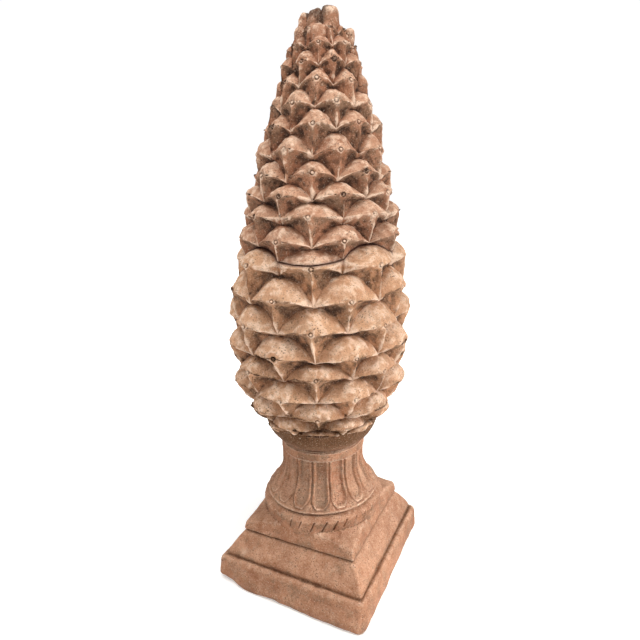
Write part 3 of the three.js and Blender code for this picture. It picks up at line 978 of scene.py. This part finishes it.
# Scale, detail, roughness, distortion and share of the scale upwards of each noise in it
noises = {
    "cloud": (8.0, 5.0, 0.6),
    "rusting": (13.0, 4.0, 0.6),
    "growing": (19.0, 6.0, 0.7, 0.5),
    "patch": (31.0, 6.0, 0.66, 0.3),
    "streak": (60.0, 3.0, 0.6, 0.2, 0.22),
    "mottle": (120.0, 5.0, 0.68),
    "scratch": (190.0, 3.0, 0.6, 0.3, 0.2),
    "fleck": (330.0, 3.0, 0.7),
    "grain": (700.0, 2.0, 0.6),
}
pitScale = 210.0


# Old terracotta: cloudy fading, pale rubbed edges and upward faces that carry painted highlight too, rusty crevices,
# painted shade and dark grime in the deepest of them, grey growth, and fine pits
def terracottaMaterial(name, settings):
    board = Board(name)
    near, far, up, proud = (board.mark(mark) for mark in ("near", "far", "up", "proud"))
    cloud, rusting, growing, patch, streak, mottle, scratch, fleck, grain = (
        board.noise(*values) for values in noises.values())

    board.tint = board.blend((cloud + patch * 0.5).between(0.55, 0.95), clay["deep"], clay["body"])
    # Paler on upward and proud faces: partly real fading, partly painted highlight
    fadedAndHighlit = up.between(-0.4, 0.9) * 0.45 + (patch - 0.5) * 1.6 + (mottle - 0.5) * 0.8 + proud * 0.5 + settings["fade"]
    board.coat(fadedAndHighlit.between(0.0, 1.15) * 0.9, "pale")
    board.coat((cloud * 0.8 + patch * 0.8) * settings["ochre"], "ochre")
    board.coat(board.mark("crown") * (patch + 0.1) * 0.8, "deep")
    rust = (1 - proud).between(0.35, 0.95) * (rusting + patch * 0.5).between(0.6, 1.0)
    board.coat(rust * settings["rust"], "rust")
    growth = (growing + mottle * 0.4 - up * 0.16).between(0.62, 0.86)
    board.coat(growth * settings["growth"], "lichen")
    # Paler on convex edges, proud places and upward faces: partly rubbed wear, partly painted highlight
    rubbedAndHighlit = near * settings["rubAndHighlight"] + far * settings["farShare"] + (mottle - 0.5) * 1.2 + (patch - 0.5) * 0.6
    board.coat((rubbedAndHighlit + up * 0.12).between(0.2, 1.4) * 0.8, "dustAndHighlight")
    # Darker in creases, hollows and on downward faces: painted shade, with some grime
    creviceShadeAndGrime = (-near * 0.9 - far * 0.13 + (mottle - 0.5) * 1.0 - up * 0.1).between(0.25, 1.35)
    nub = board.mark("nub")
    board.coat(creviceShadeAndGrime * settings["creviceShadeAndGrime"] * (1 - nub * 0.9), "sootAndShade")
    board.coat(board.mark("shade") * (mottle + patch + 0.1), "olive")
    leafy = board.mark("leaf") * (0.3 - near).between(0.0, 0.4)
    board.coat(leafy.between(0.0, 0.2) * (streak + patch * 0.6).between(0.6, 1.0) * 0.55, "pale")
    board.coat(leafy.between(0.5, 0.8) * (streak + 0.2) * 0.62, "rust")
    board.coat(leafy.between(0.05, 0.2) * (0.4 - leafy).between(0.0, 0.2) * streak * 0.7, "lichen")
    # Darker in the deepest recesses between the scales: painted shade
    recessShade = (0.4 - proud + (mottle - 0.5) * 0.3).between(0.0, 0.34)
    board.coat(recessShade * settings["recessShade"], "sootAndShade")
    board.coat(board.mark("seam") * 0.95, "seam")
    board.coat(nub * 0.5, "dustAndHighlight")
    # Darker in the ring cut round each pip: painted shade in the groove
    board.coat(board.mark("ring") * (mottle + 0.25).between(0.3, 0.6) * 0.65, "sootAndShade")
    pits = board.node("ShaderNodeTexVoronoi", {}, {"Vector": board.place, "Scale": pitScale}, "Distance")
    pitted = (0.36 - pits).between(0.0, 0.2) * (patch + mottle * 0.6).between(0.74, 0.98)
    board.coat(pitted * 0.8, "sootAndShade")
    speck = fleck.between(0.32, 0.46)
    board.coat((1 - speck) * 0.5, "sootAndShade")
    board.coat(fleck.between(0.56, 0.7) * 0.4, "dustAndHighlight")

    worked = (0.5 - up).between(0.0, 0.5) * (scratch - 0.5).between(0.0, 0.25)
    board.coat(worked * 0.35, "deep")
    height = mottle * 0.9 + fleck * 0.35 + grain * 0.12 + patch * 0.8 + scratch * 0.5 - pitted * 0.8
    bump = board.node("ShaderNodeBump", {}, {"Strength": 0.95, "Distance": 0.0034, "Height": height})
    shader = board.node("ShaderNodeBsdfPrincipled", {}, {
        "Base Color": board.tint, "Roughness": 0.86 + mottle * 0.1, "Normal": bump, "Specular IOR Level": 0.2,
    })
    board.node("ShaderNodeOutputMaterial", {}, {"Surface": shader}, None)
    return board.material


# Strength of each layer on the lower cone, the upper cone and the foot
finishes = {
    "fade": (-0.02, -0.24, -0.22),
    "rust": (0.55, 0.5, 0.4),
    "growth": (0.45, 0.6, 0.5),
    "creviceShadeAndGrime": (0.8, 0.85, 0.5),
    "farShare": (0.1, 0.1, 0.01),
    "recessShade": (0.85, 0.75, 0.0),
    "rubAndHighlight": (1.1, 1.0, 0.6),
    "ochre": (0.34, 0.05, 0.1),
}
lowerClay, upperClay, footClay = (
    terracottaMaterial(name, {kind: strengths[k] for kind, strengths in finishes.items()})
    for k, name in enumerate(("lowerTerracotta", "upperTerracotta", "footTerracotta")))
print("materials made")

# Pieces
footAndPlinth = plinthObject()
combine(footAndPlinth, footObject(), "UNION")
footAndPlinth.name = "footAndPlinth"
markSurface(footAndPlinth, footMarks(pointsOf(footAndPlinth.data)))
finishPiece(footAndPlinth, "lower_part", footClay, 60)
print("plinth and foot made")

whole, *pips = coneObject()
upperCone = bpy.data.objects.new("upperCone", whole.data.copy())
lowerCone = bpy.data.objects.new("lowerCone", whole.data.copy())
for part in (upperCone, lowerCone):
    bpy.context.scene.collection.objects.link(part)
discard(whole)
for part, opening, tight, operation in (
    (upperCone, seam["openAbove"], seam["tight"], "INTERSECT"),
    (lowerCone, -seam["openBelow"], -seam["tight"], "DIFFERENCE"),
):
    combine(part, seamBlock(opening, tight), operation)
for lobeSettings in crown["lobes"]:
    combine(upperCone, lobeObject(*lobeSettings), "UNION")
keepInside(upperCone, "upper_part")
keepInside(lowerCone, "lower_part")
keepInside(footAndPlinth, "lower_part")
for part in (lowerCone, upperCone):
    height, proud = pointsOf(part.data)[:, 2], proudShare(part)
    end, ease, share = cone["lowShade"]
    markSurface(part, {
        "proud": proud, "seam": seamMark(part), "crown": eased(height, *cone["crownMark"]),
        "shade": share * eased(end, height, ease) * smooth((0.95 - proud) / 0.5),
        **pipMarks(part, *pips),
    })
finishPiece(lowerCone, "lower_part", lowerClay, 70)
finishPiece(upperCone, "upper_part", upperClay, 70)
print("cone made")

# Camera, light and floor
studio = {
    "cameraPlace": (0.5053, -1.0134, 0.9976),
    "azimuth": 26.63,
    "pitch": 16.25,
    "roll": -0.66,
    "lens": 27.69,
    "sensor": 36,
    # Place, target, size, watts, colour and spread in degrees
    "lights": {
        "keyLight": ((2.8, 0.2, 2.4), (0, 0, 0.5), 1.5, 58, (1.0, 0.97, 0.93), 180),
        "lowLight": ((2.3, 0.3, 0.9), (0.15, 0, 0.05), 0.6, 2.0, (0.97, 0.98, 1.0), 40),
        "topLight": ((-0.1, -0.9, 3.6), (0, 0, 0.6), 2.2, 84, (1.0, 0.98, 0.96), 180),
    },
    "worldColour": (1, 0.985, 0.965, 1),
    "worldStrength": 0.38,
    "floorGlow": (0.35, 1.0),  # near the finial and far off, where it ends in white
    "glowReach": (0.3, 1.3),
    "floorSize": 30.0,
    "room": ((14000, -50), (14000, 9000), (9000, 13000), (200, 14000)),  # radius and height of its rings
    "roomSides": 48,
}
cameraData = bpy.data.cameras.new("camera")
cameraData.lens = studio["lens"]
cameraData.sensor_width = studio["sensor"]
camera = bpy.data.objects.new("camera", cameraData)
bpy.context.scene.collection.objects.link(camera)
turned = (Matrix.Rotation(math.radians(studio["azimuth"]), 4, "Z")
          @ Matrix.Rotation(math.radians(90 - studio["pitch"]), 4, "X")
          @ Matrix.Rotation(math.radians(studio["roll"]), 4, "Z"))
camera.matrix_world = Matrix.Translation(studio["cameraPlace"]) @ turned
bpy.context.scene.camera = camera


def areaLight(name, place, target, size, power, tint, spread):
    data = bpy.data.lights.new(name, "AREA")
    data.spread = math.radians(spread)
    data.size = size
    data.energy = power
    data.color = tint
    lamp = bpy.data.objects.new(name, data)
    bpy.context.scene.collection.objects.link(lamp)
    lamp.location = place
    away = Vector(place) - Vector(target)
    lamp.rotation_euler = away.to_track_quat("Z", "Y").to_euler()


for lightName, lightSettings in studio["lights"].items():
    areaLight(lightName, *lightSettings)

world = bpy.data.worlds.new("studioWorld")
world.use_nodes = True
backdrop = world.node_tree.nodes["Background"].inputs
backdrop["Color"].default_value = studio["worldColour"]
backdrop["Strength"].default_value = studio["worldStrength"]
bpy.context.scene.world = world


def stagePiece(name, material):
    made = bpy.data.objects[name]
    made.data.materials.append(material)
    return made


# Pale paper with a light of its own that grows away from the finial
floorBoard = Board("floorPaper")
away = floorBoard.node("ShaderNodeVectorMath", {"operation": "LENGTH"}, {0: floorBoard.place}, "Value")
glow = [(value, value, value, 1) for value in studio["floorGlow"]]
floorShader = floorBoard.node("ShaderNodeBsdfPrincipled", {}, {
    "Base Color": (0.9, 0.9, 0.9, 1), "Roughness": 0.9, "Specular IOR Level": 0.1, "Emission Strength": 1.0,
    "Emission Color": floorBoard.blend(away.between(*studio["glowReach"]), *glow),
})
floorBoard.node("ShaderNodeOutputMaterial", {}, {"Surface": floorShader}, None)
reach = studio["floorSize"] * 1000 / 2
meshObject("floor", np.array([[-reach, -reach, 0], [reach, -reach, 0], [reach, reach, 0], [-reach, reach, 0]], float),
           [(0, 1, 2, 3)])
stagePiece("floor", floorBoard.material)

# A white room far round the floor, seen by the camera alone
roomMaterial = bpy.data.materials.new("whiteRoom")
roomMaterial.use_nodes = True
roomShader = roomMaterial.node_tree.nodes["Principled BSDF"]
roomShader.inputs["Base Color"].default_value = (0, 0, 0, 1)
roomShader.inputs["Emission Color"].default_value = (1, 1, 1, 1)
roomShader.inputs["Emission Strength"].default_value = 1.0
around = np.linspace(0, fullTurn, studio["roomSides"], endpoint=False)
ringSkin("room", np.stack([polar(radius, around, height) for radius, height in studio["room"]]).astype(float))
room = stagePiece("room", roomMaterial)
for seenBy in ("visible_diffuse", "visible_glossy", "visible_transmission", "visible_shadow"):
    setattr(room, seenBy, False)

bpy.context.scene.view_settings.view_transform = "Standard"
print("camera, light and floor made")
